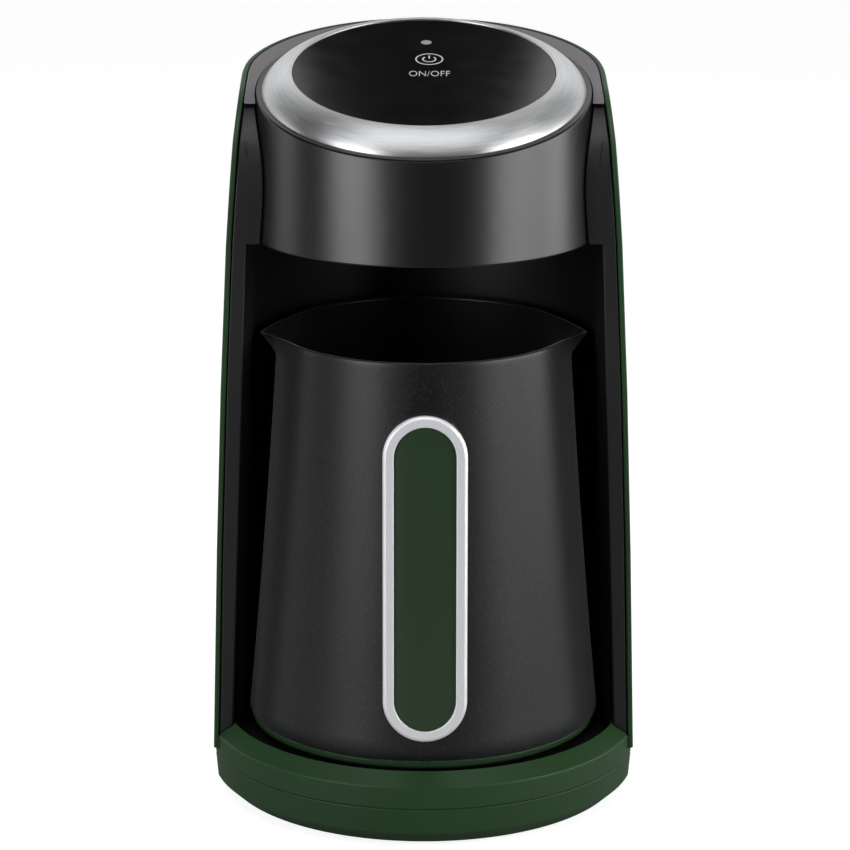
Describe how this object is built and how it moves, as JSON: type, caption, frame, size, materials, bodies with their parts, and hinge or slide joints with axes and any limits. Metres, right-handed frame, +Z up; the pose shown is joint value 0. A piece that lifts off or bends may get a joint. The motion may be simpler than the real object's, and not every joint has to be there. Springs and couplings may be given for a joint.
{
  "type": "electric turkish coffee maker",
  "caption": "Electric Turkish coffee maker: tall housing with an open bay, tilted control panel, and a heated pot with a long handle on a cordless base.",
  "frame": {"origin": "on the table, under the middle of the whole machine's box", "axes": "+Z up, -Y to the front where the pot's handle points, +X to the right seen from the front"},
  "size_m": [0.129, 0.1733, 0.233],
  "materials": {
    "housing_green": "satin moulded, dark green",
    "base_green": "satin moulded, dark green",
    "frame_black": "fine moulded grain, black",
    "head_grey": "satin, dark grey",
    "panel_black": "polished, black",
    "ring_steel": "brushed round the ring",
    "pot_black": "satin black coating",
    "handle_bright": "satin plated",
    "handle_black": "moulded, black",
    "inlay_green": "smooth moulded, dark green",
    "rubber_black": "moulded rubber",
    "steel": "plain steel",
    "brass": "stamped brass",
    "lens_dark": "polished, dark",
    "board_green": "circuit board",
    "parts_grey": "moulded components",
    "aluminium": "rolled plate"
  },
  "bodies": {
    "root": {"base_lower": "base_green", "rubber_feet": "rubber_black", "base_upper": "base_green", "base_screws": "steel", "pot_deck": "frame_black", "base_connector": "frame_black", "contact_sleeves": "brass", "rear_shell": "housing_green", "inlet_bush": "rubber_black", "bay_frame": "frame_black", "frame_screws": "steel", "power_board": "board_green", "power_screws": "steel", "transformer": "parts_grey", "relay": "parts_grey", "terminal_block": "parts_grey", "top_cover": "frame_black", "head_shell": "head_grey", "head_underside": "frame_black", "sensor_lens": "lens_dark", "steel_ring": "ring_steel", "rim_trim": "frame_black", "control_panel": "panel_black", "key_switch": "parts_grey", "lamp_lens": "lens_dark", "indicator_led": "lens_dark", "control_board": "board_green", "buzzer": "parts_grey", "board_screws": "steel"},
    "power_key": {"power_key": "panel_black"},
    "pot": {"pot_vessel": "pot_black", "pot_base_ring": "base_green", "pot_base_cover": "frame_black", "pot_connector": "frame_black", "heater_disc": "aluminium", "heating_element": "steel", "thermostat": "steel", "handle_strap": "steel", "handle_body": "handle_black", "handle_screws": "steel", "handle_frame": "handle_bright", "handle_inlay": "inlay_green"}
  },
  "joints": [
    {"name": "pot_lift", "type": "slide", "parent": "root", "child": "pot", "axis": [0, 0, 1], "range_m": [0, 0.024]},
    {"name": "key_press", "type": "slide", "parent": "root", "child": "power_key", "axis": [0, 0.2504, -0.9681], "range_m": [0, 0.0005], "stiffness_N_per_m": 1000, "springref_m": -0.0005}
  ]
}
